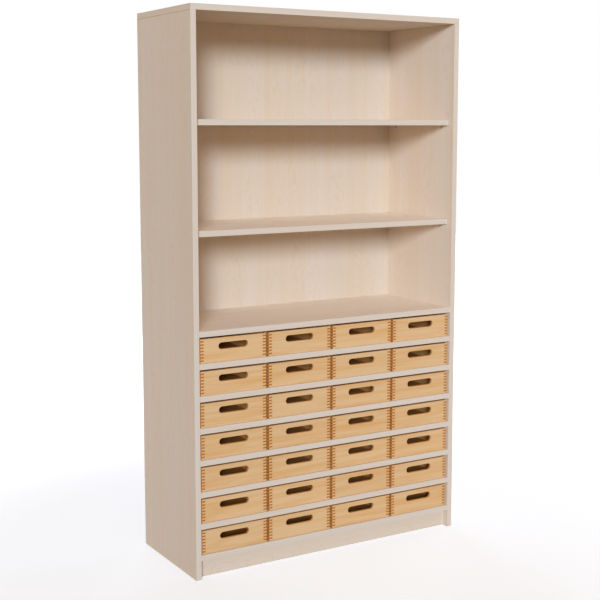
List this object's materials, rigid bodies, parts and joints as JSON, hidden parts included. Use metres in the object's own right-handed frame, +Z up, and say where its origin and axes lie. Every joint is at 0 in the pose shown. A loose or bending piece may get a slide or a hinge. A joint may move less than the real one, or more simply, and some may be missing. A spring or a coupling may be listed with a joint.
{
  "type": "classroom tray storage unit",
  "caption": "Tall free-standing school cabinet: open compartments with loose shelves above, and below them rows of finger-jointed wooden trays with slot grips that pull out.",
  "frame": {"origin": "on the floor, under the middle of the cabinet's width and depth", "axes": "+Z up, -Y out of the open front, +X to the right seen from the front"},
  "size_m": [1.02, 0.4, 1.8],
  "materials": {
    "carcass_board": "pale wood-grain melamine on chipboard, matt",
    "back_board": "pale wood-grain melamine on fibreboard, matt",
    "edge_band": "pale wood-grain plastic edging, fine satin",
    "tray_wood": "clear-lacquered solid softwood, satin",
    "dowel": "plain beech",
    "shelf_support": "nickel-plated steel",
    "screw": "zinc-plated steel"
  },
  "bodies": {
    "cabinet": {"left_side_panel": "carcass_board", "right_side_panel": "carcass_board", "top_panel": "carcass_board", "plinth_board": "carcass_board", "rear_plinth_rail": "carcass_board", "back_panel": "back_board", "base_shelf": "carcass_board", "tray_shelf_1": "carcass_board", "tray_shelf_2": "carcass_board", "tray_shelf_3": "carcass_board", "tray_shelf_4": "carcass_board", "tray_shelf_5": "carcass_board", "tray_shelf_6": "carcass_board", "middle_shelf": "carcass_board", "left_side_edge_band": "edge_band", "right_side_edge_band": "edge_band", "top_edge_bands": "edge_band", "fixed_shelf_edge_bands": "edge_band", "shelf_dowels": "dowel", "plinth_dowels": "dowel", "top_dowels": "dowel", "back_panel_screws": "screw", "lower_shelf_supports": "shelf_support", "upper_shelf_supports": "shelf_support"},
    "lower_loose_shelf": {"lower_loose_shelf": "carcass_board", "lower_loose_shelf_band": "edge_band"},
    "upper_loose_shelf": {"upper_loose_shelf": "carcass_board", "upper_loose_shelf_band": "edge_band"},
    "tray_row_1_column_1": {"tray_row_1_column_1": "tray_wood"},
    "tray_row_1_column_2": {"tray_row_1_column_2": "tray_wood"},
    "tray_row_1_column_3": {"tray_row_1_column_3": "tray_wood"},
    "tray_row_1_column_4": {"tray_row_1_column_4": "tray_wood"},
    "tray_row_2_column_1": {"tray_row_2_column_1": "tray_wood"},
    "tray_row_2_column_2": {"tray_row_2_column_2": "tray_wood"},
    "tray_row_2_column_3": {"tray_row_2_column_3": "tray_wood"},
    "tray_row_2_column_4": {"tray_row_2_column_4": "tray_wood"},
    "tray_row_3_column_1": {"tray_row_3_column_1": "tray_wood"},
    "tray_row_3_column_2": {"tray_row_3_column_2": "tray_wood"},
    "tray_row_3_column_3": {"tray_row_3_column_3": "tray_wood"},
    "tray_row_3_column_4": {"tray_row_3_column_4": "tray_wood"},
    "tray_row_4_column_1": {"tray_row_4_column_1": "tray_wood"},
    "tray_row_4_column_2": {"tray_row_4_column_2": "tray_wood"},
    "tray_row_4_column_3": {"tray_row_4_column_3": "tray_wood"},
    "tray_row_4_column_4": {"tray_row_4_column_4": "tray_wood"},
    "tray_row_5_column_1": {"tray_row_5_column_1": "tray_wood"},
    "tray_row_5_column_2": {"tray_row_5_column_2": "tray_wood"},
    "tray_row_5_column_3": {"tray_row_5_column_3": "tray_wood"},
    "tray_row_5_column_4": {"tray_row_5_column_4": "tray_wood"},
    "tray_row_6_column_1": {"tray_row_6_column_1": "tray_wood"},
    "tray_row_6_column_2": {"tray_row_6_column_2": "tray_wood"},
    "tray_row_6_column_3": {"tray_row_6_column_3": "tray_wood"},
    "tray_row_6_column_4": {"tray_row_6_column_4": "tray_wood"},
    "tray_row_7_column_1": {"tray_row_7_column_1": "tray_wood"},
    "tray_row_7_column_2": {"tray_row_7_column_2": "tray_wood"},
    "tray_row_7_column_3": {"tray_row_7_column_3": "tray_wood"},
    "tray_row_7_column_4": {"tray_row_7_column_4": "tray_wood"}
  },
  "joints": [
    {"name": "lower_loose_shelf_slide", "type": "slide", "parent": "cabinet", "child": "lower_loose_shelf", "axis": [0, -1, 0], "range_m": [0, 0.385]},
    {"name": "upper_loose_shelf_slide", "type": "slide", "parent": "cabinet", "child": "upper_loose_shelf", "axis": [0, -1, 0], "range_m": [0, 0.385]},
    {"name": "tray_row_1_column_1_slide", "type": "slide", "parent": "cabinet", "child": "tray_row_1_column_1", "axis": [0, -1, 0], "range_m": [0, 0.39]},
    {"name": "tray_row_1_column_2_slide", "type": "slide", "parent": "cabinet", "child": "tray_row_1_column_2", "axis": [0, -1, 0], "range_m": [0, 0.39]},
    {"name": "tray_row_1_column_3_slide", "type": "slide", "parent": "cabinet", "child": "tray_row_1_column_3", "axis": [0, -1, 0], "range_m": [0, 0.39]},
    {"name": "tray_row_1_column_4_slide", "type": "slide", "parent": "cabinet", "child": "tray_row_1_column_4", "axis": [0, -1, 0], "range_m": [0, 0.39]},
    {"name": "tray_row_2_column_1_slide", "type": "slide", "parent": "cabinet", "child": "tray_row_2_column_1", "axis": [0, -1, 0], "range_m": [0, 0.39]},
    {"name": "tray_row_2_column_2_slide", "type": "slide", "parent": "cabinet", "child": "tray_row_2_column_2", "axis": [0, -1, 0], "range_m": [0, 0.39]},
    {"name": "tray_row_2_column_3_slide", "type": "slide", "parent": "cabinet", "child": "tray_row_2_column_3", "axis": [0, -1, 0], "range_m": [0, 0.39]},
    {"name": "tray_row_2_column_4_slide", "type": "slide", "parent": "cabinet", "child": "tray_row_2_column_4", "axis": [0, -1, 0], "range_m": [0, 0.39]},
    {"name": "tray_row_3_column_1_slide", "type": "slide", "parent": "cabinet", "child": "tray_row_3_column_1", "axis": [0, -1, 0], "range_m": [0, 0.39]},
    {"name": "tray_row_3_column_2_slide", "type": "slide", "parent": "cabinet", "child": "tray_row_3_column_2", "axis": [0, -1, 0], "range_m": [0, 0.39]},
    {"name": "tray_row_3_column_3_slide", "type": "slide", "parent": "cabinet", "child": "tray_row_3_column_3", "axis": [0, -1, 0], "range_m": [0, 0.39]},
    {"name": "tray_row_3_column_4_slide", "type": "slide", "parent": "cabinet", "child": "tray_row_3_column_4", "axis": [0, -1, 0], "range_m": [0, 0.39]},
    {"name": "tray_row_4_column_1_slide", "type": "slide", "parent": "cabinet", "child": "tray_row_4_column_1", "axis": [0, -1, 0], "range_m": [0, 0.39]},
    {"name": "tray_row_4_column_2_slide", "type": "slide", "parent": "cabinet", "child": "tray_row_4_column_2", "axis": [0, -1, 0], "range_m": [0, 0.39]},
    {"name": "tray_row_4_column_3_slide", "type": "slide", "parent": "cabinet", "child": "tray_row_4_column_3", "axis": [0, -1, 0], "range_m": [0, 0.39]},
    {"name": "tray_row_4_column_4_slide", "type": "slide", "parent": "cabinet", "child": "tray_row_4_column_4", "axis": [0, -1, 0], "range_m": [0, 0.39]},
    {"name": "tray_row_5_column_1_slide", "type": "slide", "parent": "cabinet", "child": "tray_row_5_column_1", "axis": [0, -1, 0], "range_m": [0, 0.39]},
    {"name": "tray_row_5_column_2_slide", "type": "slide", "parent": "cabinet", "child": "tray_row_5_column_2", "axis": [0, -1, 0], "range_m": [0, 0.39]},
    {"name": "tray_row_5_column_3_slide", "type": "slide", "parent": "cabinet", "child": "tray_row_5_column_3", "axis": [0, -1, 0], "range_m": [0, 0.39]},
    {"name": "tray_row_5_column_4_slide", "type": "slide", "parent": "cabinet", "child": "tray_row_5_column_4", "axis": [0, -1, 0], "range_m": [0, 0.39]},
    {"name": "tray_row_6_column_1_slide", "type": "slide", "parent": "cabinet", "child": "tray_row_6_column_1", "axis": [0, -1, 0], "range_m": [0, 0.39]},
    {"name": "tray_row_6_column_2_slide", "type": "slide", "parent": "cabinet", "child": "tray_row_6_column_2", "axis": [0, -1, 0], "range_m": [0, 0.39]},
    {"name": "tray_row_6_column_3_slide", "type": "slide", "parent": "cabinet", "child": "tray_row_6_column_3", "axis": [0, -1, 0], "range_m": [0, 0.39]},
    {"name": "tray_row_6_column_4_slide", "type": "slide", "parent": "cabinet", "child": "tray_row_6_column_4", "axis": [0, -1, 0], "range_m": [0, 0.39]},
    {"name": "tray_row_7_column_1_slide", "type": "slide", "parent": "cabinet", "child": "tray_row_7_column_1", "axis": [0, -1, 0], "range_m": [0, 0.39]},
    {"name": "tray_row_7_column_2_slide", "type": "slide", "parent": "cabinet", "child": "tray_row_7_column_2", "axis": [0, -1, 0], "range_m": [0, 0.39]},
    {"name": "tray_row_7_column_3_slide", "type": "slide", "parent": "cabinet", "child": "tray_row_7_column_3", "axis": [0, -1, 0], "range_m": [0, 0.39]},
    {"name": "tray_row_7_column_4_slide", "type": "slide", "parent": "cabinet", "child": "tray_row_7_column_4", "axis": [0, -1, 0], "range_m": [0, 0.39]}
  ]
}
